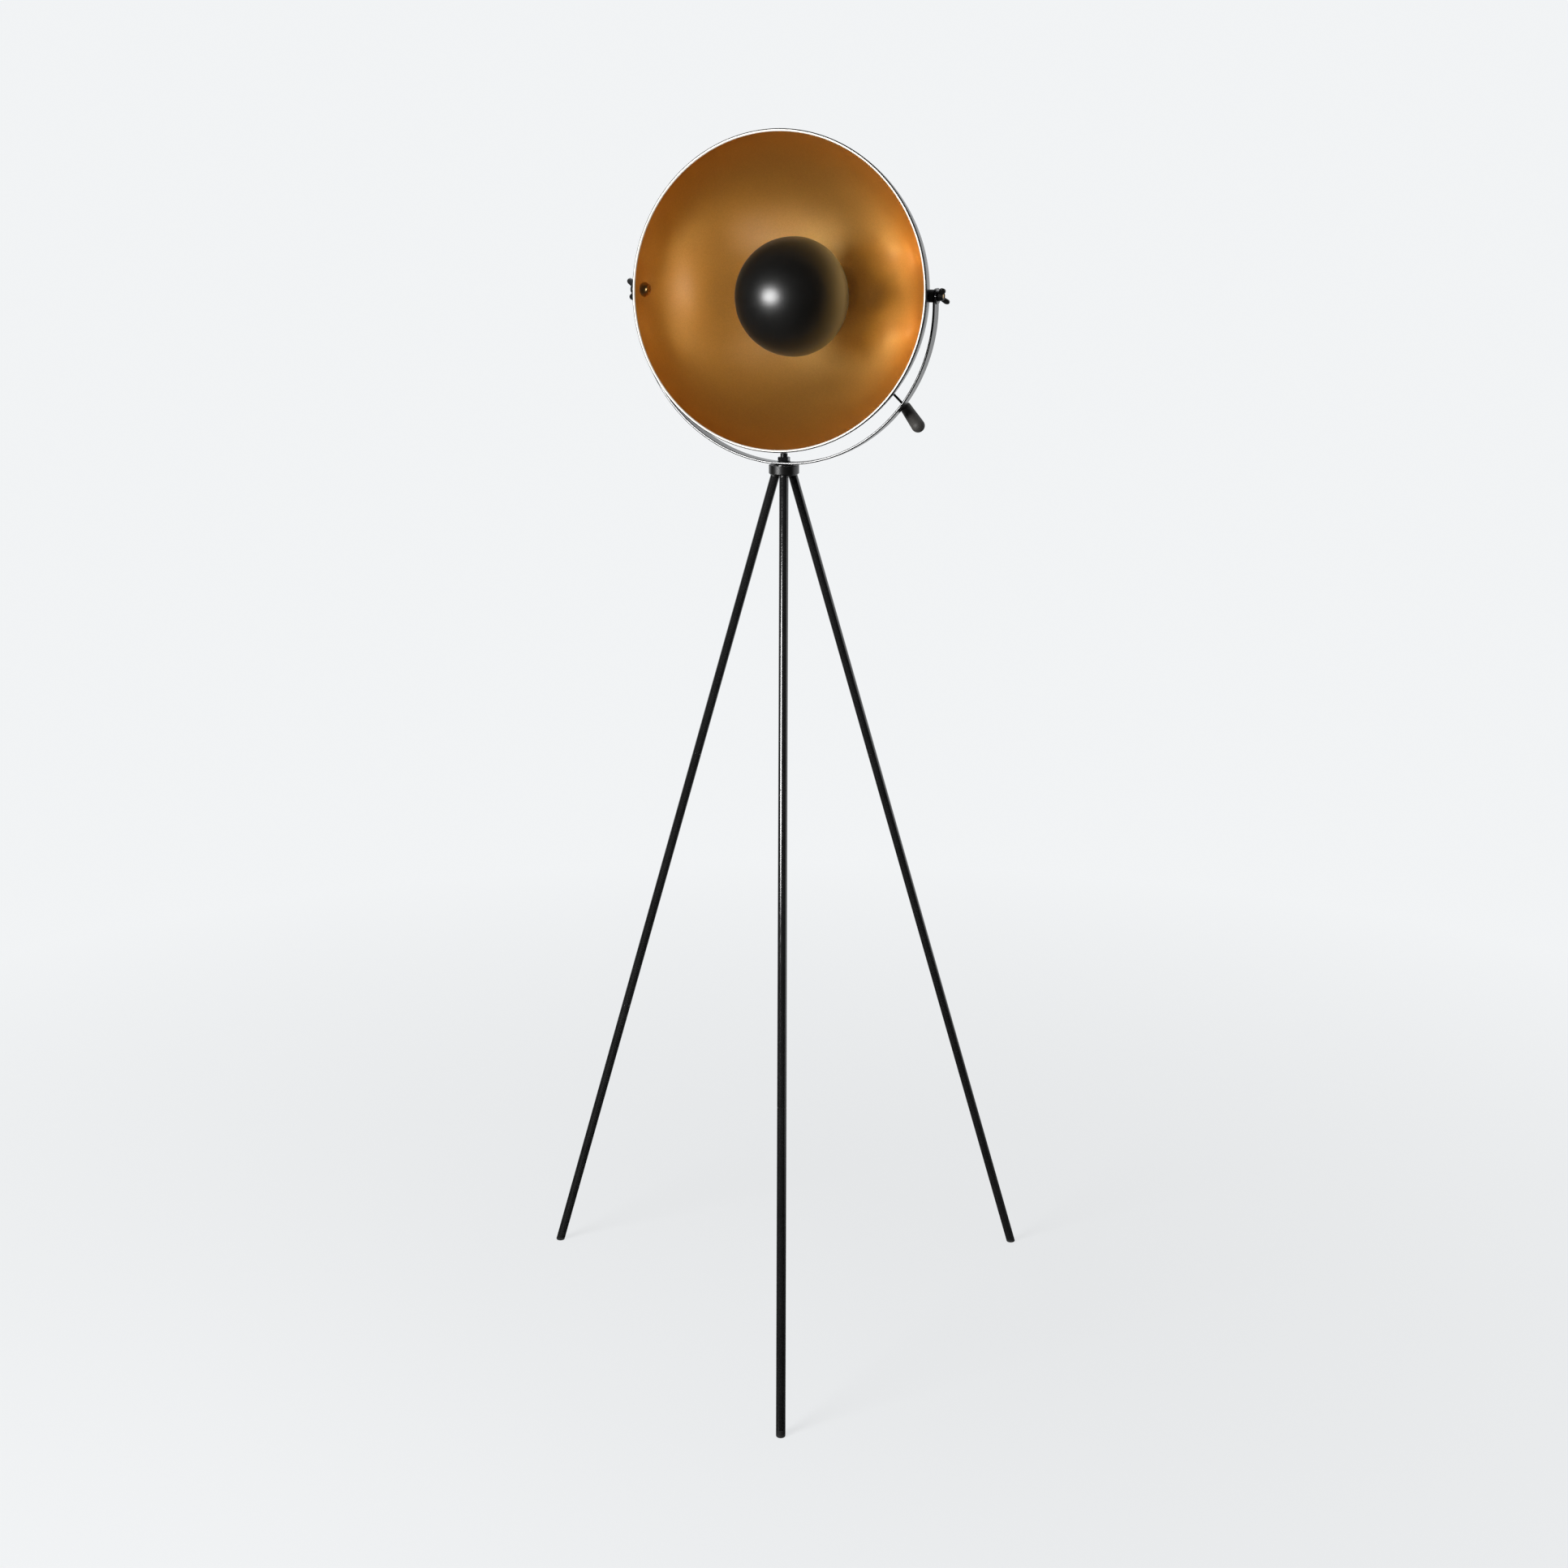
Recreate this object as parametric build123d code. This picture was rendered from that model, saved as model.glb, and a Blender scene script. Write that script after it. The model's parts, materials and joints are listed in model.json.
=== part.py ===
from build123d import *
from math import acos, atan2, cos, degrees, hypot, radians, sin, sqrt
import os

# A tripod floor lamp with a large bowl shade. Millimetres, +Z up. The origin is on the floor, under the
# axis on which the shade swivels. At rest the shade faces -Y, tipped up a little.

# Tripod
leg_names = ("front", "right", "left")
front_leg_angle = -68.2  # where the first leg points, in degrees from +X
foot_circle_r = 386.8  # from the swivel axis to the middle of each foot
leg_top_r = 12.6  # the same at the underside of the hub
hub_bottom_z = 1163.5
tube_d = 12.0
tube_wall = 1.0
tube_end_chamfer = 0.4  # shows as a fine groove where two tubes meet
section_names = ("upper", "middle", "lower")
hub_d = 39.5
hub_h = 12.5
hub_chamfer = 2.0
hub_round = 0.5
boss_drop = 3.0  # how far each leg boss stands out of the hub, along the leg
foot_h = 8.0  # the foot below the tube, along the leg
foot_round = 1.3
insert_len = 14.0
stud_r = 4.0
stud_reach = 11.0  # how far a stud goes into its socket

# Swivel
swivel_r = 5.0
swivel_bore_r = 3.5
swivel_nut_af = 14.0
swivel_nut_h = 5.0
swivel_washer_t = 1.2
lower_washer_r = 13.0
upper_washer_r = 8.4

# Shade and the bracket that carries it
rim_r = 201.0
rim_bead_d = 3.6
sheet = 1.0
bowl_front = 28.0  # the bowl's ball centre lies this far in front of the rim
back_flat_r = 45.0
pivot_behind_rim = 26.0
rest_tilt_up = 3.2
strip_w = 17.0
strip_t = 3.0
rim_clearance = 1.0  # between the space the tilting rim sweeps and what lies outside it
strip_bend_drop = 12.6  # bend centre below the tilt axis
strip_seat_half = 14.0  # half of the flat pressed into the bottom of the bracket
strip_end_above = 9.6

# Tilt pivots
bolt_r = 3.0
bolt_head_r = 6.8
bolt_head_h = 2.6
bolt_head_round = 1.6
bolt_end_inside = 0.8  # the bolt ends this far inside the wing nut
recess_w = 1.2
recess_len = 7.2
recess_depth = 1.4
pivot_saddle_r = 7.3
pivot_saddle_t = 0.6
pivot_flare_r = 16.0  # where the saddle's flank would end, and how high it then stands
pivot_flare_h = 7.0
pivot_spacer_r = 8.0
pivot_washer_r = 10.0
pivot_washer_t = 1.5
wing_base_r = 6.5
wing_tip_r = 5.0
wing_body_h = 7.5
wing_ear_r = 4.1
wing_root_r = 3.0
wing_ear_out = 10.6  # ear centre from the nut's axis
wing_ear_along = 8.2  # ear centre from the nut's seat
wing_ear_t = 2.6
right_wing_turn = 52.0  # how far each nut's ears are turned from upright
left_wing_turn = 20.0

# Handle on the back of the shade
handle_angle = -42.5  # round the shade, in degrees from +X
handle_behind_rim = 72.0
handle_rod_r = 1.6
handle_rod_out = 27.0  # from the outside of the bowl to the rod's bend
handle_lean = 28.0
handle_pad_r = 6.0
handle_pad_t = 1.6
grip_root_r = 7.3
grip_len = 46.0
grip_flare = 2.2  # how far each side opens out towards the end, in degrees
grip_end_round = 8.6
grip_bore_len = 22.0

# Lamp holder, from the back of the shade to the front
nipple_r = 5.0
nipple_bore_r = 3.5
nipple_inside = 12.0
nipple_outside = 17.0
back_washer_r = 12.0
back_washer_t = 1.5
back_nut_af = 14.0
back_nut_h = 5.0
gland_r = 8.5
gland_mouth_r = 5.6
gland_bore_r = 3.25
gland_len = 23.0
cover_r = 19.5
cover_back_r = 13.0
cover_shoulder = 9.0
cover_len = 24.0
cover_wall = 2.0
cover_boss_h = 8.0
holder_len = 38.0
holder_neck_r = 19.0
holder_bore_r = 14.6
holder_floor = 8.0
holder_wire_hole_r = 3.0
flange_r = 23.5
flange_t = 2.8
flange_from_cover = 20.0
ring_r = 23.0
ring_h = 8.0
insulator_h = 6.0
contact_r = 5.0
contact_h = 3.0
screw_shell_wall = 0.8
screw_shell_len = 22.0

# Bulb
bulb_r = 30.0
bulb_wall = 1.0
bulb_neck_r = 12.4
bulb_len = 101.0
bulb_swell = 27.0  # where the neck begins to swell, from the contact
bulb_neck_end = 5.0  # end of the glass, from the contact
bulb_cap_r = 13.2
bulb_cap_wall = 0.6
bulb_cap_len = 20.0
bulb_contact_r = 4.5
bulb_contact_h = 3.0

# Reflector cap in front of the bulb, and the frame that carries it
cap_r = 76.0
cap_sheet = 1.0
cap_behind_rim = 58.9
cap_drop = 5.0  # the cap hangs this far below the shade's axis
stay_angles = (90, 210, 330)
stay_r = 1.2
frame_ring_r = 25.0
frame_ring_t = 1.4
tab_w = 10.0
tab_len = 9.0
tab_t = 1.6
tab_inset = 1.0
rivet_r = 1.5
rivet_head_r = 2.6
rivet_head_h = 1.0

# Clearances
fit_gap = 0.05  # round a piece that turns on, screws on or is pressed into another
clear_gap = 0.35  # a loose hole round a bolt or tube
seat_gap = 0.1  # between flat faces that slide on each other

# Places that follow from the sizes above. The shade and all it carries are worked out about the tilt
# axis, which is X, with the shade level and facing -Y.
tube_r = tube_d / 2
tube_bore_r = tube_r - tube_wall
plug_r = tube_bore_r - fit_gap
hub_top_z = hub_bottom_z + hub_h
leg_run = foot_circle_r - leg_top_r
leg_len = hypot(leg_run, hub_bottom_z)
section_len = (leg_len - boss_drop - foot_h) / len(section_names)
rim_sweep_r = hypot(rim_r - rim_bead_d / 2, pivot_behind_rim) + rim_bead_d / 2
strip_bend_r = sqrt(
    (rim_sweep_r + rim_clearance) ** 2 - pivot_behind_rim**2 + (pivot_behind_rim - strip_bend_drop) ** 2
)  # inside of the bracket's bend
strip_outer_r = strip_bend_r + strip_t
seat_inner_z = -strip_bend_drop - sqrt(strip_bend_r**2 - strip_seat_half**2)
seat_outer_z = -strip_bend_drop - sqrt(strip_outer_r**2 - strip_seat_half**2)
pivot_z = hub_top_z + swivel_washer_t - seat_outer_z
upper_washer_z = pivot_z + seat_inner_z
swivel_nut_z = upper_washer_z + swivel_washer_t
swivel_top_z = pivot_z - rim_sweep_r - rim_clearance
rim_y = -pivot_behind_rim
bowl_y = rim_y - bowl_front
bowl_r = hypot(rim_r, bowl_front)
bowl_inner_r = bowl_r - sheet
back_y = bowl_y + sqrt(bowl_r**2 - back_flat_r**2)
back_inner_y = back_y - sheet
saddle_x = sqrt(bowl_inner_r**2 - (pivot_saddle_r - bowl_y) ** 2) - pivot_saddle_t
wing_seat_x = strip_outer_r + pivot_washer_t + seat_gap
cover_y = back_inner_y - cover_len
floor_y = cover_y - holder_floor
holder_y = cover_y - holder_len
flange_back_y = cover_y - flange_from_cover
flange_y = flange_back_y - flange_t
frame_ring_y = flange_y - frame_ring_t
insulator_y = floor_y - insulator_h
contact_y = insulator_y - contact_h
bulb_cap_y = contact_y - bulb_contact_h
cap_y = rim_y + cap_behind_rim
cap_inner_r = cap_r - cap_sheet
tab_x = cap_inner_r - tab_t
rivet_y = cap_y - tab_inset - tab_len / 2
gland_y = back_y + back_washer_t + back_nut_h


def turned(*points):
    """A solid turned about the Y axis from its outline, given as (radius, y) points."""
    return revolve(make_face(Polyline(*points, close=True)), Axis.Y)


def ring_y(radius, bore, start, end):
    return turned((bore, start), (radius, start), (radius, end), (bore, end))


def bar(start, end, radius):
    """A round bar from one point to another."""
    way = Vector(*end) - Vector(*start)
    return extrude(Plane(origin=start, z_dir=way) * Circle(radius), way.length)


def bar_x(radius, start, end, y=0):
    return bar((start, y, 0), (end, y, 0), radius)


def bar_y(radius, start, end):
    return bar((0, start, 0), (0, end, 0), radius)


def bar_z(radius, start, height):
    return Pos(0, 0, start) * extrude(Circle(radius), height)


def ring_z(radius, bore, start, height):
    return Pos(0, 0, start) * extrude(Circle(radius) - Circle(bore), height)


def ball(radius, y):
    return Pos(0, y, 0) * Sphere(radius)


def hex_nut(across_flats, bore, height):
    return extrude(RegularPolygon(across_flats / 2, 6, major_radius=False) - Circle(bore), height)


# Legs. Each piece of a leg is made along +Z, from the point where the leg's axis meets the underside of
# the hub, and is then laid along the leg.
def leg_plane(leg):
    turn = radians(front_leg_angle + leg * 360 / len(leg_names))
    out = Vector(cos(turn), sin(turn), 0)
    start = out * leg_top_r + Vector(0, 0, hub_bottom_z)
    return Plane(origin=start, z_dir=out * leg_run - Vector(0, 0, hub_bottom_z))


def section_start(number):
    return boss_drop + number * section_len


def leg_tube(leg, number):
    tube = bar_z(tube_r, section_start(number), section_len)
    tube = chamfer(tube.edges().filter_by(GeomType.CIRCLE), tube_end_chamfer)
    return leg_plane(leg) * (tube - bar_z(tube_bore_r, section_start(number), section_len))


def socket_insert(leg, number):
    """A threaded insert pressed into the top of a tube."""
    return leg_plane(leg) * ring_z(plug_r, stud_r + fit_gap, section_start(number), insert_len)


def joiner_stud(leg, number):
    """A plug in the bottom of a tube, whose stud screws into the insert of the tube below."""
    joint = section_start(number + 1)
    plug = bar_z(plug_r, joint - insert_len, insert_len)
    return leg_plane(leg) * (plug + bar_z(stud_r, joint, stud_reach))


def hub_stud(leg):
    """The stud that screws a leg to its boss on the hub."""
    return leg_plane(leg) * bar_z(stud_r, boss_drop - stud_reach, 2 * stud_reach)


def foot(leg):
    """A plug in the end of the leg, cut flat where it stands on the floor."""
    tube_end = leg_len - foot_h
    plug = bar_z(plug_r, tube_end - insert_len, insert_len)
    tip = bar_z(tube_r, tube_end, foot_h + tube_d)
    piece = split(leg_plane(leg) * (plug + tip), Plane.XY, keep=Keep.TOP)
    return fillet(piece.edges().group_by(Axis.Z)[0], foot_round)


# Hub and swivel
def hub():
    body = bar_z(hub_d / 2, hub_bottom_z, hub_h)
    body = chamfer(body.edges().group_by(Axis.Z)[0], hub_chamfer)
    body = fillet(body.edges().group_by(Axis.Z)[-1], hub_round)
    for leg in range(len(leg_names)):
        body += leg_plane(leg) * bar_z(tube_r, -hub_h / 2, hub_h / 2 + boss_drop)
    for leg in range(len(leg_names)):
        body -= leg_plane(leg) * bar_z(stud_r + fit_gap, boss_drop - stud_reach, 2 * stud_reach)
    return body - bar_z(swivel_r + fit_gap, hub_bottom_z - hub_h, 3 * hub_h)


def swivel_stud():
    return ring_z(swivel_r, swivel_bore_r, hub_bottom_z, swivel_top_z - hub_bottom_z)


def swivel_nut():
    return Pos(0, 0, swivel_nut_z) * hex_nut(swivel_nut_af, swivel_r + fit_gap, swivel_nut_h)


# Bracket: a flat strip bent into a U, with a flat pressed into its bottom
def strip_side(radius, seat_z):
    sweep = degrees(acos(strip_seat_half / radius))
    arm = Line((radius, strip_end_above), (radius, -strip_bend_drop))
    bend = CenterArc((0, -strip_bend_drop), radius, 0, -sweep)
    seat = Line((strip_seat_half, seat_z), (-strip_seat_half, seat_z))
    other_bend = CenterArc((0, -strip_bend_drop), radius, 180, sweep)
    other_arm = Line((-radius, -strip_bend_drop), (-radius, strip_end_above))
    return arm + bend + seat + other_bend + other_arm


def bracket():
    outline = strip_side(strip_bend_r, seat_inner_z) + strip_side(strip_outer_r, seat_outer_z)
    for side in (-1, 1):
        outline += Line((side * strip_bend_r, strip_end_above), (side * strip_outer_r, strip_end_above))
    strip = extrude(Plane.XZ * make_face(outline), strip_w / 2, both=True)
    strip = fillet(strip.edges().filter_by(Axis.X).group_by(Axis.Z)[-1], strip_w / 2 - fit_gap)
    strip -= bar_x(bolt_r + fit_gap, -strip_outer_r - strip_t, strip_outer_r + strip_t)
    return strip - bar_z(swivel_r + fit_gap, seat_outer_z - strip_t, 3 * strip_t)


# Shade
def bowl_arc(radius, front_y, end_y):
    start = degrees(atan2(front_y - bowl_y, sqrt(radius**2 - (front_y - bowl_y) ** 2)))
    end = degrees(atan2(end_y - bowl_y, sqrt(radius**2 - (end_y - bowl_y) ** 2)))
    return CenterArc((0, bowl_y), radius, start, end - start)


def shade_shell():
    """A spun bowl with a rolled rim, a flat back for the lamp holder and a hole at each tilt pivot."""
    outer = bowl_arc(bowl_r, rim_y, back_y)
    inner = bowl_arc(bowl_inner_r, rim_y, back_inner_y)
    section = make_face(
        outer
        + Line(outer @ 1, (0, back_y))
        + Line((0, back_y), (0, back_inner_y))
        + Line((0, back_inner_y), inner @ 1)
        + inner
        + Line(inner @ 0, outer @ 0)
    )
    section += Pos(rim_r - rim_bead_d / 2, rim_y) * Circle(rim_bead_d / 2)
    shell = revolve(section, Axis.Y)
    shell -= bar_x(bolt_r + clear_gap, -rim_r, rim_r)
    return shell - bar_y(nipple_r + clear_gap, back_inner_y - sheet, back_y + sheet)


# Tilt pivot, made for the side at +X
def pivot_bolt():
    head = bar_x(bolt_head_r, saddle_x - bolt_head_h, saddle_x)
    head = fillet(head.edges().group_by(Axis.X)[0], bolt_head_round)
    for wide, tall in ((recess_w, recess_len), (recess_len, recess_w)):
        head -= Pos(saddle_x - bolt_head_h, 0, 0) * Box(2 * recess_depth, wide, tall)
    return head + bar_x(bolt_r, saddle_x, wing_seat_x + wing_body_h - bolt_end_inside)


def pivot_saddle():
    """A seat for the bolt's head, whose flank runs out to the inside of the bowl."""
    top, foot = (saddle_x, pivot_saddle_r), (saddle_x + pivot_flare_h, pivot_flare_r)
    outline = Polyline((saddle_x, 0), top, foot, (foot[0], 0), close=True)
    piece = revolve(make_face(outline), Axis.X) & ball(bowl_inner_r - fit_gap, bowl_y)
    return piece - bar_x(bolt_r + clear_gap, 0, rim_r)


def pivot_spacer():
    """A spacer between bowl and bracket, shaped to the outside of the bowl."""
    piece = bar_x(pivot_spacer_r, bowl_r / 2, strip_bend_r - seat_gap) - ball(bowl_r + fit_gap, bowl_y)
    return piece - bar_x(bolt_r + clear_gap, 0, strip_bend_r)


def pivot_washer():
    piece = bar_x(pivot_washer_r, strip_outer_r, strip_outer_r + pivot_washer_t)
    return piece - bar_x(bolt_r + clear_gap, 0, 2 * strip_outer_r)


def wing_nut():
    outline = Polyline((0, 0), (0, wing_base_r), (wing_body_h, wing_tip_r), (wing_body_h, 0), close=True)
    nut = revolve(make_face(outline), Axis.X)
    root = Pos(wing_body_h / 2, wing_tip_r) * Circle(wing_root_r)
    tip = Pos(wing_ear_along, wing_ear_out) * Circle(wing_ear_r)
    ear = extrude(Plane.XZ * make_hull((root + tip).edges()), wing_ear_t / 2, both=True)
    nut += ear + mirror(ear, about=Plane.XY)
    return Pos(wing_seat_x, 0, 0) * nut - bar_x(bolt_r + fit_gap, 0, 2 * wing_seat_x)


# Handle, in the plane through the shade's axis that its angle gives
def handle_point(radius, y):
    turn = radians(handle_angle)
    return Vector(radius * cos(turn), y, radius * sin(turn))


handle_y = rim_y + handle_behind_rim
handle_bowl_r = sqrt(bowl_r**2 - (handle_y - bowl_y) ** 2)
handle_root = handle_point(handle_bowl_r - handle_pad_r, handle_y)
handle_bend = handle_point(handle_bowl_r + handle_rod_out, handle_y)
handle_way = handle_point(cos(radians(handle_lean)), -sin(radians(handle_lean)))


def handle_rod():
    """A bent rod on a pad that is shaped to the bowl and welded to it."""
    rod = bar(handle_root, handle_bend, handle_rod_r)
    rod += Pos(*handle_bend) * Sphere(handle_rod_r)
    rod += bar(handle_bend, handle_bend + handle_way * (grip_bore_len - clear_gap), handle_rod_r)
    pad = bar(handle_root, handle_bend, handle_pad_r) & ball(bowl_r + handle_pad_t, bowl_y)
    return rod + pad - ball(bowl_r + fit_gap, bowl_y)


def handle_grip():
    grip = extrude(Circle(grip_root_r), grip_len, taper=-grip_flare)
    grip = fillet(grip.edges().group_by(Axis.Z)[-1], grip_end_round)
    grip -= bar_z(handle_rod_r + fit_gap, 0, grip_bore_len)
    start = handle_bend + handle_way * (2 * handle_rod_r)
    return Plane(origin=start, z_dir=handle_way) * grip


# Lamp holder
def holder_nipple():
    return ring_y(nipple_r, nipple_bore_r, back_inner_y - nipple_inside, back_y + nipple_outside)


def back_nut():
    nut = hex_nut(back_nut_af, nipple_r + fit_gap, back_nut_h)
    return Plane(origin=(0, back_y + back_washer_t, 0), z_dir=(0, 1, 0)) * nut


def cord_gland():
    """The collar on the end of the nipple, through which a cord would come in."""
    nipple_end = back_y + nipple_outside
    end = gland_y + gland_len
    return turned(
        (nipple_r + fit_gap, gland_y),
        (gland_r, gland_y),
        (gland_r, nipple_end),
        (gland_mouth_r, end),
        (gland_bore_r, end),
        (gland_bore_r, nipple_end),
        (nipple_r + fit_gap, nipple_end),
    )


def holder_cover():
    boss_y = back_inner_y - cover_boss_h
    return turned(
        (nipple_r + fit_gap, back_inner_y),
        (cover_back_r, back_inner_y),
        (cover_r, back_inner_y - cover_shoulder),
        (cover_r, cover_y),
        (cover_r - cover_wall, cover_y),
        (cover_r - cover_wall, boss_y - cover_wall),
        (cover_back_r - cover_wall, boss_y),
        (nipple_r + fit_gap, boss_y),
    )


def holder_body():
    return turned(
        (holder_wire_hole_r, cover_y),
        (cover_r, cover_y),
        (cover_r, flange_back_y),
        (flange_r, flange_back_y),
        (flange_r, flange_y),
        (holder_neck_r, flange_y),
        (holder_neck_r, holder_y),
        (holder_bore_r, holder_y),
        (holder_bore_r, floor_y),
        (holder_wire_hole_r, floor_y),
    )


def holder_screw_shell():
    outer = holder_bore_r - fit_gap
    return ring_y(outer, outer - screw_shell_wall, insulator_y, insulator_y - screw_shell_len)


# Bulb
def bulb_form(radius, neck_r, neck_end_y):
    """A ball on a neck, joined by the straight flank that is tangent to the ball."""
    centre_y = contact_y - bulb_len + bulb_r
    rise = contact_y - bulb_swell - centre_y
    turn = atan2(rise, neck_r) - acos(radius / hypot(neck_r, rise))
    front = CenterArc((0, centre_y), radius, -90, 90 + degrees(turn))
    outline = front + Line(front @ 1, (neck_r, centre_y + rise))
    outline += Line((neck_r, centre_y + rise), (neck_r, neck_end_y))
    outline += Line((neck_r, neck_end_y), (0, neck_end_y))
    outline += Line((0, neck_end_y), front @ 0)
    return revolve(make_face(outline), Axis.Y)


def bulb_glass():
    neck_end_y = contact_y - bulb_neck_end
    hollow = bulb_form(bulb_r - bulb_wall, bulb_neck_r - bulb_wall, neck_end_y - 2 * bulb_wall)
    return bulb_form(bulb_r, bulb_neck_r, neck_end_y) - hollow


def bulb_screw_cap():
    cup = bar_y(bulb_cap_r, bulb_cap_y, bulb_cap_y - bulb_cap_len)
    return cup - bar_y(bulb_cap_r - bulb_cap_wall, bulb_cap_y - bulb_cap_wall, bulb_cap_y - bulb_cap_len)


# Reflector cap. The tabs and rivets are made at +X and copied round the cap's axis. Cap, tabs and rivets
# are made on the shade's axis and lowered last.
cap_place = Pos(0, 0, -cap_drop)


def round_the_axis(piece):
    return [Rot(0, -angle, 0) * piece for angle in stay_angles]


def reflector_cap():
    outer = CenterArc((0, cap_y), cap_r, -90, 90)
    inner = CenterArc((0, cap_y), cap_inner_r, -90, 90)
    section = make_face(outer + Line(outer @ 1, inner @ 1) + inner + Line(inner @ 0, outer @ 0))
    shell = revolve(section, Axis.Y)
    for hole in round_the_axis(bar_x(rivet_r + fit_gap, tab_x, cap_r + cap_sheet, rivet_y)):
        shell -= hole
    return cap_place * shell


def cap_frame():
    """A ring held on the lamp holder, with stays to tabs on the inside of the cap."""
    frame = ring_y(frame_ring_r, holder_neck_r + clear_gap, frame_ring_y, flange_y)
    stay_start = Vector(frame_ring_r, (frame_ring_y + flange_y) / 2, 0)
    stay_end = Vector(tab_x, cap_y - tab_inset - stay_r, 0)
    for angle in stay_angles:
        lowered_end = stay_end.rotate(Axis.Y, -angle) - Vector(0, 0, cap_drop)
        frame += bar(stay_start.rotate(Axis.Y, -angle), lowered_end, stay_r)
    tab = Pos(tab_x + tab_t, rivet_y, 0) * Box(2 * tab_t, tab_len, tab_w)
    tab = tab & ball(cap_inner_r - fit_gap, cap_y)
    tab -= bar_x(rivet_r + fit_gap, tab_x - tab_t, cap_r, rivet_y)
    for piece in round_the_axis(tab):
        frame += cap_place * piece
    return frame


def cap_rivet():
    """A rivet that is flush with the outside of the cap."""
    shank = bar_x(rivet_r, tab_x, cap_r + cap_sheet, rivet_y) & ball(cap_r, cap_y)
    return shank + bar_x(rivet_head_r, tab_x - rivet_head_h, tab_x, rivet_y)


# All pieces, by name. Those of the shade go to their place last, turned to the tilt at rest.
head_place = Pos(0, 0, pivot_z) * Rot(-rest_tilt_up, 0, 0)
bracket_place = Pos(0, 0, pivot_z)
legs = range(len(leg_names))
sections = range(len(section_names))

nodes = {
    "hub": hub(),
    "swivel_stud": swivel_stud(),
    "swivel_lower_washer": ring_z(
        lower_washer_r, swivel_r + clear_gap, hub_top_z, swivel_washer_t - seat_gap
    ),
    "swivel_upper_washer": ring_z(
        upper_washer_r, swivel_r + clear_gap, upper_washer_z + seat_gap, swivel_washer_t - seat_gap
    ),
    "swivel_nut": swivel_nut(),
    "hub_studs": Compound([hub_stud(leg) for leg in legs]),
    "leg_socket_inserts": Compound([socket_insert(leg, number) for leg in legs for number in sections]),
    "leg_joiner_studs": Compound([joiner_stud(leg, number) for leg in legs for number in sections[:-1]]),
    "bracket": bracket_place * bracket(),
}
for leg, leg_name in enumerate(leg_names):
    for number, section_name in enumerate(section_names):
        nodes[f"leg_{leg_name}_{section_name}"] = leg_tube(leg, number)
    nodes[f"foot_{leg_name}"] = foot(leg)

head_nodes = {
    "shade_shell": shade_shell(),
    "handle_rod": handle_rod(),
    "handle_grip": handle_grip(),
    "holder_nipple": holder_nipple(),
    "back_washer": ring_y(back_washer_r, nipple_r + clear_gap, back_y, back_y + back_washer_t),
    "back_nut": back_nut(),
    "cord_gland": cord_gland(),
    "holder_cover": holder_cover(),
    "holder_body": holder_body(),
    "holder_ring": ring_y(ring_r, holder_neck_r + fit_gap, frame_ring_y - ring_h, frame_ring_y),
    "holder_insulator": bar_y(holder_bore_r - fit_gap, insulator_y, floor_y),
    "holder_contact": bar_y(contact_r, contact_y, insulator_y),
    "holder_screw_shell": holder_screw_shell(),
    "bulb_contact": bar_y(bulb_contact_r, bulb_cap_y, contact_y),
    "bulb_screw_cap": bulb_screw_cap(),
    "bulb_glass": bulb_glass(),
    "reflector_cap": reflector_cap(),
    "cap_frame": cap_frame(),
    "cap_rivets": cap_place * Compound(round_the_axis(cap_rivet())),
}
pivot_pieces = {
    "pivot_bolt": pivot_bolt(),
    "pivot_saddle": pivot_saddle(),
    "pivot_spacer": pivot_spacer(),
    "pivot_washer": pivot_washer(),
    "wing_nut": wing_nut(),
}
for name, piece in pivot_pieces.items():
    head_nodes[name + "_right"] = piece
    head_nodes[name + "_left"] = mirror(piece, about=Plane.YZ)
for side, turn in (("right", right_wing_turn), ("left", left_wing_turn)):
    head_nodes["wing_nut_" + side] = Rot(turn, 0, 0) * head_nodes["wing_nut_" + side]
for name, piece in head_nodes.items():
    nodes[name] = head_place * piece

os.makedirs("parts", exist_ok=True)
for name, piece in nodes.items():
    export_step(piece, f"parts/{name}.step")
print(len(nodes), "pieces, tilt axis at", round(pivot_z, 2), "mm, swivel top at", round(swivel_top_z, 2))
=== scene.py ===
# %% [markdown]
# # A tripod floor lamp
# A bowl shade, black outside and gold inside, tips in a U-shaped bracket on three thin legs. The CAD model
# gives the lamp its sizes and its joints. This script gives it its looks: it models the pieces whose shape
# catches the light, gives every piece a finish, and lights it as in a small studio.

# %% Load the CAD model as a fixed frame
import json
import math

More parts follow.
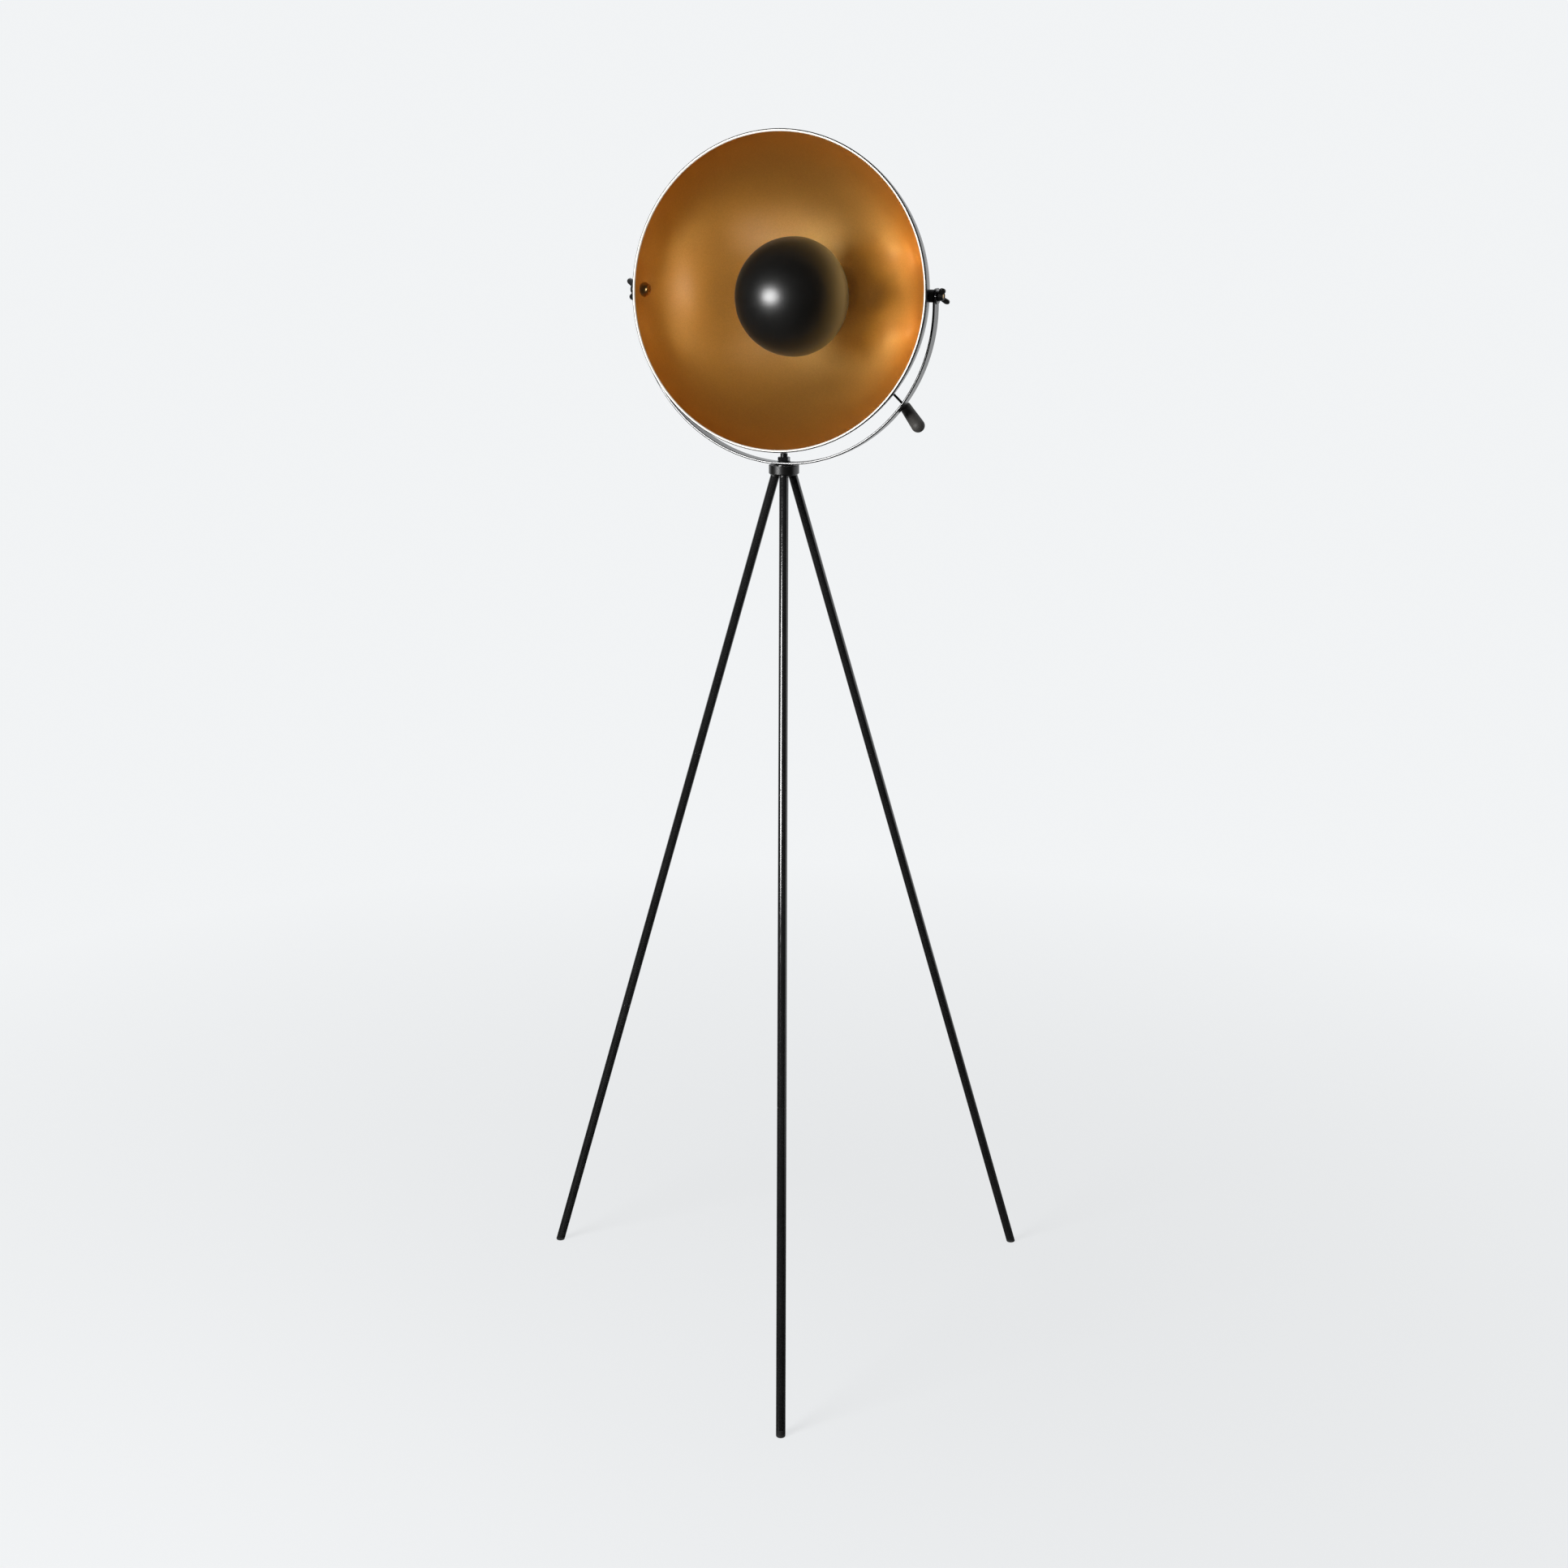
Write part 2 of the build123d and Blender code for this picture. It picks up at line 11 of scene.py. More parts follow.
import bpy
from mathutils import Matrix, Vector


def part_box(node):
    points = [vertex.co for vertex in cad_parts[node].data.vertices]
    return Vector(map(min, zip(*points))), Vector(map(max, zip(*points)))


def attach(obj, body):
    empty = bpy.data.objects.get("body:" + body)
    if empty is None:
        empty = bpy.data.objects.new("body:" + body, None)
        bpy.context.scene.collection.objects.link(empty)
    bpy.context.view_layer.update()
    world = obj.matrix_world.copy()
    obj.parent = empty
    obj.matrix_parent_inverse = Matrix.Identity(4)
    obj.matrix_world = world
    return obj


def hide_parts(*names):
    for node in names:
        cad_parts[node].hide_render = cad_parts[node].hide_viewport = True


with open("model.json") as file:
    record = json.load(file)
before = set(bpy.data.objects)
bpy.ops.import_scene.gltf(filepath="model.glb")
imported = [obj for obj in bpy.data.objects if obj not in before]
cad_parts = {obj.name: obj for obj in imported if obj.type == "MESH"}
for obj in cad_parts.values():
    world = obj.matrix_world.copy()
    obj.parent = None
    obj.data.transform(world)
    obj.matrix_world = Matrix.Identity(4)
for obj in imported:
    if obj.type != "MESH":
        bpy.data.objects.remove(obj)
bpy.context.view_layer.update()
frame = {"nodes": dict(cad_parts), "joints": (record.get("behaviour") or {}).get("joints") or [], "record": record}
nodes = frame["nodes"]
joints = {joint["name"]: joint for joint in frame["joints"]}

# %% [markdown]
# ## Tools of the workshop
# Most pieces of a lamp are turned, so one tool draws a line of edges and another spins it round an axis, as
# a lathe would. A line could be typed in as mesh data, but extruding one vertex from point to point is how
# it is drawn by hand. Each piece is moved to its place at the end, and the move goes into the mesh, so that
# every object stays at the origin like the CAD nodes.


# %% Draw, spin and place
def select_only(piece):
    if bpy.context.mode != "OBJECT":
        bpy.ops.object.mode_set(mode="OBJECT")
    bpy.ops.object.select_all(action="DESELECT")
    if piece:
        piece.select_set(True)
        bpy.context.view_layer.objects.active = piece


def draw_line(name, points):
    """One vertex, extruded from point to point. The piece is left in edit mode."""
    select_only(None)
    bpy.ops.mesh.primitive_plane_add(size=0.001)
    piece = bpy.context.object
    piece.name = name
    bpy.ops.object.mode_set(mode="EDIT")
    bpy.ops.mesh.select_mode(type="VERT")
    bpy.ops.mesh.select_all(action="SELECT")
    bpy.ops.mesh.merge(type="CENTER")
    bpy.ops.transform.translate(value=points[0])
    for here, there in zip(points, points[1:]):
        step = Vector(there) - Vector(here)
        bpy.ops.mesh.extrude_region_move(TRANSFORM_OT_translate={"value": step})
    return piece


def close_mesh():
    """Joins points that fell on each other and turns all faces outwards."""
    bpy.ops.mesh.select_all(action="SELECT")
    bpy.ops.mesh.remove_doubles(threshold=1e-6)
    bpy.ops.mesh.normals_make_consistent(inside=False)
    bpy.ops.object.mode_set(mode="OBJECT")


def pick(piece, kind, test):
    """Opens a piece with only those vertices or faces selected that pass a test."""
    select_only(piece)
    bpy.ops.object.mode_set(mode="EDIT")
    bpy.ops.mesh.select_mode(type=kind)
    bpy.ops.mesh.select_all(action="DESELECT")
    bpy.ops.object.mode_set(mode="OBJECT")
    for element in piece.data.vertices if kind == "VERT" else piece.data.polygons:
        element.select = test(element)
    bpy.ops.object.mode_set(mode="EDIT")


def turn_on_lathe(name, outline, steps=96):
    """A solid spun round the Y axis from its outline of (radius, y) points."""
    piece = draw_line(name, [(radius, y, 0) for radius, y in outline])
    bpy.ops.mesh.select_all(action="SELECT")
    bpy.ops.mesh.spin(steps=steps, angle=math.tau, center=(0, 0, 0), axis=(0, 1, 0))
    close_mesh()
    return piece


def arc(centre, radius, start, end, steps):
    """Points on a circle, with the angles in degrees."""
    angles = [math.radians(start + (end - start) * step / steps) for step in range(steps + 1)]
    return [(centre[0] + radius * math.cos(a), centre[1] + radius * math.sin(a)) for a in angles]


def place(piece, at=(0, 0, 0), turn=(0, 0, 0)):
    select_only(piece)
    piece.rotation_euler = turn
    piece.location = at
    bpy.ops.object.transform_apply(location=True, rotation=True, scale=True)


def copy_of(piece, name):
    select_only(piece)
    bpy.ops.object.duplicate(linked=False)
    bpy.context.object.name = name
    return bpy.context.object


def join_to(piece, *others):
    select_only(piece)
    for other in others:
        other.select_set(True)
    bpy.ops.object.join()


def apply_modifier(piece, kind, **settings):
    select_only(piece)
    modifier = piece.modifiers.new(kind.title(), kind)
    for setting, value in settings.items():
        setattr(modifier, setting, value)
    bpy.ops.object.modifier_apply(modifier=modifier.name)


def smooth(piece, angle):
    select_only(piece)
    bpy.ops.object.shade_smooth_by_angle(angle=math.radians(angle))


def finish_piece(piece, body, finishes, replaced):
    """Gives a piece its finishes and its body, and hides the CAD nodes that it stands for."""
    for finish in finishes:
        piece.data.materials.append(finish)
    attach(piece, body)
    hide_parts(*replaced)
    print(piece.name, "rides on", body, "with", len(piece.data.polygons), "faces")


# %% [markdown]
# ## Finishes
# Nothing on a real lamp is one flat colour. Sprayed paint lies a little thicker here and thinner there, so
# its colour and gloss drift, and its surface has a grain that breaks up reflections. One recipe makes all
# paints and plastics: a broad noise for the drift and a fine one for the grain. The noises read Object
# coordinates, so they stay at their real size on every piece.


# %% The recipe for paint and plastic
def add_node(finish, kind, inputs=None, **settings):
    node = finish.node_tree.nodes.new(kind)
    for setting, value in settings.items():
        setattr(node, setting, value)
    for socket, value in (inputs or {}).items():
        node.inputs[socket].default_value = value
    return node


def start_finish(name, constants):
    finish = bpy.data.materials.new(name)
    finish.use_nodes = True
    shader = finish.node_tree.nodes["Principled BSDF"]
    for socket, value in constants.items():
        shader.inputs[socket].default_value = value
    place_on_piece = add_node(finish, "ShaderNodeTexCoord").outputs["Object"]
    return finish, shader, place_on_piece


def noise(finish, where, size, detail=3.0):
    """A noise whose patches are about that many metres across."""
    texture = add_node(finish, "ShaderNodeTexNoise", {"Scale": 1 / size, "Detail": detail})
    finish.node_tree.links.new(where, texture.inputs["Vector"])
    return texture.outputs["Fac"]


def drift(finish, factor, low, high, socket):
    """Lets a socket drift between two values. Colours go through a ramp, numbers through a range."""
    links = finish.node_tree.links
    if isinstance(low, tuple):
        ramp = add_node(finish, "ShaderNodeValToRGB")
        ramp.color_ramp.elements[0].position = 0.3
        ramp.color_ramp.elements[1].position = 0.7
        ramp.color_ramp.elements[0].color = (*low, 1)
        ramp.color_ramp.elements[1].color = (*high, 1)
        links.new(factor, ramp.inputs["Fac"])
        links.new(ramp.outputs["Color"], socket)
    else:
        spread = add_node(
            finish, "ShaderNodeMapRange", {"From Min": 0.3, "From Max": 0.7, "To Min": low, "To Max": high}
        )
        links.new(factor, spread.inputs["Value"])
        links.new(spread.outputs["Result"], socket)


def grain(finish, factor, shader, height):
    bump = add_node(finish, "ShaderNodeBump", {"Distance": height, "Strength": 1.0})
    finish.node_tree.links.new(factor, bump.inputs["Height"])
    finish.node_tree.links.new(bump.outputs["Normal"], shader.inputs["Normal"])


colour_drift_size = 0.05
gloss_drift_size = colour_drift_size / 6


def coated(name, colours, roughness, grain_size, grain_height, ior=1.5):
    """Paint or plastic: colour and gloss drift slowly, and a fine grain lies over both."""
    finish, shader, where = start_finish(name, {"IOR": ior})
    drift(finish, noise(finish, where, colour_drift_size), *colours, shader.inputs["Base Color"])
    drift(finish, noise(finish, where, gloss_drift_size), *roughness, shader.inputs["Roughness"])
    grain(finish, noise(finish, where, grain_size, 2.0), shader, grain_height)
    return finish


# %% [markdown]
# ## Paints and plastics
# The legs are gloss black, because the front one shows a crisp white streak. The outside of the shade is
# softer, and the hub and the cap in front of the bulb are satin: the cap's one highlight is wide and has no
# edge. The bracket's thick lacquer mirrors the pale room more than the others do, which a higher index of
# refraction gives it. The plastics, the rubber of the feet and the cream of the rim come from one recipe too.

# %% Mix the paints
black_lacquer = coated(
    "black_lacquer", ((0.008, 0.008, 0.009), (0.012, 0.012, 0.013)), (0.24, 0.28), 0.0012, 0.000003, ior=2.4
)
shade_black = coated(
    "shade_black", ((0.008, 0.008, 0.009), (0.012, 0.012, 0.013)), (0.24, 0.3), 0.0012, 0.000003, ior=1.45
)
black_enamel = coated(
    "black_enamel", ((0.01, 0.01, 0.01), (0.015, 0.015, 0.015)), (0.1, 0.14), 0.0009, 0.000003, ior=1.8
)
black_satin = coated(
    "black_satin", ((0.005, 0.005, 0.0045), (0.008, 0.0075, 0.007)), (0.31, 0.34), 0.0006, 0.000005, ior=1.65
)
rim_enamel = coated(
    "rim_enamel", ((0.88, 0.84, 0.76), (0.94, 0.91, 0.84)), (0.25, 0.35), 0.0008, 0.000004
)

# %% Mix the plastics and the rubber
black_plastic = coated(
    "black_plastic", ((0.016, 0.016, 0.016), (0.026, 0.025, 0.024)), (0.38, 0.5), 0.0005, 0.00002
)
grip_plastic = coated(
    "grip_plastic", ((0.050, 0.047, 0.043), (0.066, 0.062, 0.057)), (0.55, 0.68), 0.0007, 0.00004
)
foot_rubber = coated(
    "foot_rubber", ((0.006, 0.006, 0.006), (0.014, 0.014, 0.014)), (0.7, 0.85), 0.0008, 0.00004
)
off_white = coated("off_white", ((0.72, 0.69, 0.62), (0.8, 0.78, 0.72)), (0.35, 0.5), 0.0006, 0.00001)
print("mixed", len(bpy.data.materials), "finishes so far")

# %% [markdown]
# ## Gold lining
# The inside of the bowl is sprayed with a bronze lacquer full of metal flakes, under a clear coat. The flakes
# lie at all angles, so the metal's own shine is broad. The smooth coat over them mirrors the bowl's bright
# right side as a pale crescent on the left. One roughness could not give both, so the clear coat is a layer
# of its own. The flakes glitter close up: every cell of a fine Voronoi pattern has its own shade.

# %% Mix the gold
flake_size = 0.0009
dark_flake, light_flake = (0.81, 0.5, 0.158), (0.87, 0.54, 0.172)
gold_lining, gold_shader, gold_where = start_finish(
    "gold_lining",
    {
        "Metallic": 1.0,
        "Specular Tint": (1.0, 0.8, 0.5, 1),
        "Coat Weight": 0.55,
        "Coat IOR": 2.8,
        "Coat Roughness": 0.15,
    },
)
flakes = add_node(gold_lining, "ShaderNodeTexVoronoi", {"Scale": 1 / flake_size})
gold_lining.node_tree.links.new(gold_where, flakes.inputs["Vector"])
flake_shade = add_node(gold_lining, "ShaderNodeSeparateColor")
gold_lining.node_tree.links.new(flakes.outputs["Color"], flake_shade.inputs["Color"])
drift(gold_lining, flake_shade.outputs["Red"], dark_flake, light_flake, gold_shader.inputs["Base Color"])
drift(gold_lining, noise(gold_lining, gold_where, 0.03), 0.39, 0.42, gold_shader.inputs["Roughness"])
grain(gold_lining, noise(gold_lining, gold_where, 0.0008), gold_shader, 0.000004)
print("gold lining mixed")

# %% [markdown]
# ## Bare metals and glass
# Turned and rolled metal has fine marks that run along it. A noise that is stretched in one direction gives
# such marks. It only touches the colour and the roughness, because the marks are too shallow for a bump.


# %% Mix the metals and the glass
def bare_metal(name, colours, roughness, stretch=(1, 1, 30)):
    finish, shader, where = start_finish(name, {"Metallic": 1.0})
    mapping = add_node(finish, "ShaderNodeMapping", {"Scale": stretch})
    finish.node_tree.links.new(where, mapping.inputs["Vector"])
    marks = noise(finish, mapping.outputs["Vector"], 0.006)
    drift(finish, marks, *colours, shader.inputs["Base Color"])
    drift(finish, marks, *roughness, shader.inputs["Roughness"])
    return finish


brass = bare_metal("brass", ((0.62, 0.40, 0.16), (0.74, 0.50, 0.22)), (0.24, 0.36))
steel = bare_metal("steel", ((0.46, 0.46, 0.47), (0.60, 0.60, 0.61)), (0.25, 0.38))
bulb_tin = bare_metal("bulb_tin", ((0.68, 0.68, 0.69), (0.78, 0.78, 0.79)), (0.2, 0.32))
cap_lining = bare_metal("cap_lining", ((0.62, 0.60, 0.57), (0.70, 0.68, 0.65)), (0.34, 0.42), (1, 1, 1))

frosted_glass, glass_shader, glass_where = start_finish(
    "frosted_glass", {"Transmission Weight": 0.9, "IOR": 1.45}
)
thick_glass, thin_glass = (0.86, 0.85, 0.82), (0.93, 0.92, 0.9)
glass_drift = noise(frosted_glass, glass_where, 0.03)
drift(frosted_glass, glass_drift, thick_glass, thin_glass, glass_shader.inputs["Base Color"])
drift(frosted_glass, noise(frosted_glass, glass_where, 0.002), 0.4, 0.5, glass_shader.inputs["Roughness"])
grain(frosted_glass, noise(frosted_glass, glass_where, 0.0005), glass_shader, 0.000008)
print("mixed", len(bpy.data.materials), "materials")

# %% [markdown]
# ## Finishes of the CAD nodes
# A CAD node whose shape is right already keeps its mesh and only gets a finish. The record says which slot
# each node belongs to, so one table from slot to finish dresses them all. Only the hub is satin, unlike the
# legs in its slot.

# %% Dress the CAD nodes
slot_finishes = {
    "tripod_paint": black_enamel,
    "bracket_paint": black_lacquer,
    "black_hardware": black_enamel,
    "shade_paint": shade_black,
    "cap_paint": black_satin,
    "stud_steel": steel,
    "brass": brass,
    "foot_rubber": foot_rubber,
    "grip_plastic": grip_plastic,
    "spacer_plastic": black_plastic,
    "holder_plastic": black_plastic,
    "insulator": off_white,
    "bulb_cap_metal": bulb_tin,
    "bulb_glass": frosted_glass,
}
node_finishes = {"hub": black_satin}
for subpart in frame["record"]["subparts"]:
    mesh = nodes[subpart["node"]].data
    mesh.materials.clear()
    finish = slot_finishes[subpart["material_slot"]]
    mesh.materials.append(node_finishes.get(subpart["node"], finish))

# %% [markdown]
# ## Shade
# The shade is a bowl spun from sheet, with a rolled bead at its rim and a flat at its back for the lamp
# holder. A sphere could be cut down to it, but the lathe gives wall, bead and flat in one closed outline. It
# is drawn level, with the tilt axis along X, and tipped to its place last.

# %% Sizes of the shade
tilt_axis = Vector(joints["shade_tilt"]["pos_m"])
rest_turn = (math.radians(-3.2), 0, 0)
rim_r = 0.201
rim_y = -0.026
bead_r = 0.0018
sheet = 0.001
bowl_front = 0.028
bowl_y = rim_y - bowl_front
bowl_r = math.hypot(rim_r, bowl_front)
lining_r = bowl_r - sheet
back_flat_r = 0.045
back_hole_r = 0.0053
back_y = bowl_y + math.sqrt(bowl_r**2 - back_flat_r**2)
back_inner_y = back_y - sheet
bowl_centre = (0, bowl_y)
bead_centre = (rim_r - bead_r, rim_y)
print("bowl radius", round(bowl_r, 4), "back at", round(back_y, 4))

# %% Find where the lining runs into the bead
bead_away = math.hypot(bead_centre[0], bowl_front)
bead_spread = math.acos((bead_away**2 + lining_r**2 - bead_r**2) / (2 * bead_away * lining_r))
lining_end = math.atan2(bowl_front, bead_centre[0]) + bead_spread
meet_r, meet_y = lining_r * math.cos(lining_end), bowl_y + lining_r * math.sin(lining_end)
bead_start = math.degrees(math.atan2(meet_y - rim_y, meet_r - bead_centre[0])) - 360
print("the bead starts at", round(bead_start + 360, 1), "degrees")

# %% Spin the shade
rim_angle = math.degrees(math.asin(bowl_front / bowl_r))
back_angle = math.degrees(math.acos(back_flat_r / bowl_r))
inside_angle = math.degrees(math.asin((back_inner_y - bowl_y) / lining_r))
outside = arc(bowl_centre, bowl_r, rim_angle, back_angle, 44)
inside = arc(bowl_centre, lining_r, inside_angle, math.degrees(lining_end), 44)
bead = arc(bead_centre, bead_r, bead_start, 0, 24)
shade = turn_on_lathe(
    "shade", outside + [(back_hole_r, back_y), (back_hole_r, back_inner_y)] + inside + bead[1:], 192
)
smooth(shade, 40)
finish_piece(shade, "head", (shade_black, gold_lining, rim_enamel), ["shade_shell"])

# %% Paint the inside gold and the bead cream, with its outer edge left black
black_edge_r = bead_centre[0] + 0.35 * bead_r
on_bead = bead_r + 0.0001
for face in shade.data.polygons:
    radius = math.hypot(face.center.x, face.center.z)
    from_bead = math.hypot(radius - bead_centre[0], face.center.y - bead_centre[1])
    from_bowl_centre = math.hypot(radius, face.center.y - bowl_y)
    if from_bead < on_bead and face.center.y < rim_y + bead_r:
        face.material_index = 0 if radius > black_edge_r else 2
    elif from_bowl_centre < lining_r + sheet / 4 and face.center.y < back_y - sheet / 4:
        face.material_index = 1
place(shade, tilt_axis, rest_turn)
print("gold faces:", sum(face.material_index == 1 for face in shade.data.polygons))

# %% [markdown]
# ## Seats of the bolts
# At each pivot the wall of the bowl is pressed to a flat seat for the bolt's head, and pressed sheet runs
# into its seat in a soft hollow. A cone would meet the wall in a hard line, so the flank is drawn as a hollow
# curve here. What would stick out behind the wall is cut off with a ball a little larger than the inside of
# the bowl.

# %% Press one seat and copy it
seat_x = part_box("pivot_saddle_right")[0][0]
seat_r = 0.0073
seat_bore_r = 0.0034
seat_back = 0.014
hollow_r = 0.0165
hollow_slope = 60
foot_slope = 10
hollow_centre = (
    seat_r + hollow_r * math.sin(math.radians(hollow_slope)),
    -hollow_r * math.cos(math.radians(hollow_slope)),
)
flank = arc(hollow_centre, hollow_r, 90 + hollow_slope, 90 + foot_slope, 24)
seat_line = [(seat_bore_r, 0)] + flank + [(flank[-1][0], seat_back), (seat_bore_r, seat_back)]
seat_line += [(seat_bore_r, 0)]
right_seat = turn_on_lathe("seat_right_pressed", seat_line)
place(right_seat, (seat_x, 0, 0), (0, 0, math.radians(-90)))
select_only(None)
bpy.ops.mesh.primitive_uv_sphere_add(
    segments=128, ring_count=64, radius=lining_r + sheet / 3, location=(0, bowl_y, 0)
)
ball = bpy.context.object
apply_modifier(right_seat, "BOOLEAN", operation="INTERSECT", object=ball, solver="EXACT")
bpy.data.objects.remove(ball)
left_seat = copy_of(right_seat, "seat_left_pressed")
place(left_seat, turn=(0, math.pi, 0))
for seat, side in ((right_seat, "right"), (left_seat, "left")):
    place(seat, tilt_axis, rest_turn)
    smooth(seat, 40)
    finish_piece(seat, "head", (gold_lining,), ["pivot_saddle_" + side])

# %% [markdown]
# ## Reflector cap
# A half ball in front of the bulb throws the light back into the bowl. It hangs a little below the middle.
# It is spun like the shade, with a small hem round its open edge, satin black outside and bright inside.

# %% Spin the cap
cap_r = 0.076
cap_behind_rim = 0.0589
cap_y = rim_y + cap_behind_rim
cap_drop = 0.005
hem_r = 0.0008
cap_outside = arc((0, cap_y), cap_r, -90, -0.4, 40)
cap_hem = arc((cap_r - hem_r, cap_y), hem_r, 0, 180, 8)
cap_inside = arc((0, cap_y), cap_r - sheet, -0.8, -90, 40)
cap = turn_on_lathe("cap", cap_outside + cap_hem + cap_inside, 128)
smooth(cap, 40)
for face in cap.data.polygons:
    from_centre = math.hypot(face.center.x, face.center.y - cap_y, face.center.z)
    if from_centre < cap_r - sheet / 2 and face.center.y < cap_y:
        face.material_index = 1
finish_piece(cap, "head", (black_satin, cap_lining), ["reflector_cap"])
select_only(cap)
cap.location = (0, 0, -cap_drop)
bpy.ops.object.transform_apply(location=True)
place(cap, tilt_axis, rest_turn)

# %% [markdown]
# ## Bracket
# The bracket is a flat strip bent into a U, with round ends. It is drawn as its middle line, pulled out to
# its width and given its thickness, as if bent from the flat. Rolled strip has rounded edges, on which the
# soft box shows as one fine line, so a wide bevel rounds them. Weighted normals keep the flat sides flat.

# %% Bend the bracket
strip_w = 0.017
strip_t = 0.003
strip_edge_r = 0.0013
strip_inner_r = 0.202467
strip_bend_r = strip_inner_r + strip_t / 2
strip_bend_z = -0.0126
strip_end_z = 0.0096
strip_seat_half = 0.014
strip_end_round = strip_w / 2 - 0.0002
seat_angle = math.degrees(math.acos(strip_seat_half / strip_bend_r))
right_bend = arc((0, strip_bend_z), strip_bend_r, 0, -seat_angle, 64)
left_bend = arc((0, strip_bend_z), strip_bend_r, seat_angle - 180, -180, 64)
strip_line = [(strip_bend_r, strip_end_z)] + right_bend + left_bend + [(-strip_bend_r, strip_end_z)]
bracket = draw_line("bracket_strip", [(x, -strip_w / 2, z) for x, z in strip_line])
bpy.ops.mesh.select_all(action="SELECT")
bpy.ops.mesh.extrude_region_move(TRANSFORM_OT_translate={"value": (0, strip_w, 0)})
close_mesh()
pick(bracket, "VERT", lambda vertex: vertex.co.z > strip_end_z - 0.001)
bpy.ops.mesh.bevel(affect="VERTICES", offset=strip_end_round, offset_type="OFFSET", segments=10)
bpy.ops.object.mode_set(mode="OBJECT")
apply_modifier(bracket, "SOLIDIFY", thickness=strip_t, offset=0)
apply_modifier(
    bracket, "BEVEL", width=strip_edge_r, segments=6, limit_method="ANGLE", angle_limit=math.radians(50)
)
place(bracket, tilt_axis)
smooth(bracket, 40)
apply_modifier(bracket, "WEIGHTED_NORMAL", keep_sharp=True)
finish_piece(bracket, "bracket", (black_lacquer,), ["bracket"])

# %% [markdown]
# ## Wing nuts
# A cast wing nut has no hard edge: its body and its two ears run into each other in soft hollows. It could be
# modelled as a cage for a subdivision surface. Here a turned body and two plates are only pushed together,
# and a remesh with a little smoothing then melts them into one skin, much as a casting leaves its mould.

# %% Cast one wing nut
pivot_washer_t = 0.0016
nut_seat_x = strip_inner_r + strip_t + pivot_washer_t
nut_bore_r = 0.0033
nut_len = 0.0075
nut_base_r = 0.0065
nut_end_r = 0.005
nut_edge = 0.0004
nut_line = [(nut_bore_r, 0), (nut_base_r - nut_edge, 0), (nut_base_r, nut_edge), (nut_end_r, nut_len)]
nut_line += [(nut_bore_r, nut_len), (nut_bore_r, 0)]
wing_nut = turn_on_lathe("wing_nut_body", nut_line, 64)
place(wing_nut, turn=(0, 0, math.radians(-90)))

# %% Give it its ears
ear_root_r, ear_root_half_t, ear_root_at = 0.003, 0.0016, (0.0037, 0.005)
ear_tip_r, ear_tip_half_t, ear_tip_at = 0.0041, 0.0012, (0.0082, 0.0106)


def ear_circle(radius, y, at):
    """A circle that faces along Y. In edit mode it is added to the open piece."""
    bpy.ops.mesh.primitive_circle_add(
        vertices=40, radius=radius, location=(at[0], y, at[1]), rotation=(math.pi / 2, 0, 0)
    )


select_only(None)
ear_circle(ear_root_r, -ear_root_half_t, ear_root_at)
ear = bpy.context.object
bpy.ops.object.transform_apply(location=True, rotation=True)
bpy.ops.object.mode_set(mode="EDIT")
ear_circle(ear_root_r, ear_root_half_t, ear_root_at)
ear_circle(ear_tip_r, -ear_tip_half_t, ear_tip_at)
ear_circle(ear_tip_r, ear_tip_half_t, ear_tip_at)
bpy.ops.mesh.select_all(action="SELECT")
bpy.ops.mesh.convex_hull()
bpy.ops.object.mode_set(mode="OBJECT")
other_ear = copy_of(ear, "other_ear")
place(other_ear, turn=(math.pi, 0, 0))
join_to(wing_nut, ear, other_ear)
apply_modifier(wing_nut, "REMESH", mode="VOXEL", voxel_size=0.00028)
apply_modifier(wing_nut, "SMOOTH", factor=0.5, iterations=6)
print("one wing nut has", len(wing_nut.data.polygons), "faces")

# %% Put one on each side
right_nut_turn, left_nut_turn = math.radians(52), math.radians(20)
left_wing_nut = copy_of(wing_nut, "wing_nut_left_cast")
wing_nut.name = "wing_nut_right_cast"
place(wing_nut, (nut_seat_x, 0, 0))
place(left_wing_nut, (-nut_seat_x, 0, 0), (0, 0, math.pi))
for nut, side, turn in ((wing_nut, "right", right_nut_turn), (left_wing_nut, "left", left_nut_turn)):
    place(nut, turn=(turn, 0, 0))
    place(nut, tilt_axis, rest_turn)
    smooth(nut, 50)
    finish_piece(nut, "wing_nut_" + side, (black_satin,), ["wing_nut_" + side])

# %% [markdown]
# ## Lock nuts and the swivel stud
# Two equal hexagon nuts hold the bracket on its stud and the lamp holder in the shade. A real nut is cut from
# hexagon bar, and its corners are turned off at both ends, so a hexagon is intersected here with a turned
# ring that has the bore and the sloping ends. The stud is turned with the ridges of its thread.

# %% Cut one nut and copy it
nut_flats = 0.014
nut_h = 0.005
stud_bore_r = 0.00506
bore_edge = 0.0004
slope_h = 0.0008
slope_start_r = nut_flats / 2 - 0.0001
nut_edge_bevel = 0.00015
back_washer_t = 0.0015
corner_r = nut_flats / 2 / math.cos(math.radians(30))
blank_r = corner_r + 0.0002
select_only(None)
bpy.ops.mesh.primitive_cylinder_add(vertices=6, radius=corner_r, depth=nut_h, location=(0, 0, nut_h / 2))
swivel_nut = bpy.context.object
swivel_nut.name = "swivel_nut_cut"
bpy.ops.object.transform_apply(location=True)
blank = [(stud_bore_r + bore_edge, 0), (slope_start_r, 0), (blank_r, slope_h)]
blank += [(blank_r, nut_h - slope_h), (slope_start_r, nut_h), (stud_bore_r + bore_edge, nut_h)]
blank += [(stud_bore_r, nut_h - bore_edge), (stud_bore_r, bore_edge), blank[0]]
turned_blank = turn_on_lathe("turned_blank", blank)
place(turned_blank, turn=(math.radians(90), 0, 0))
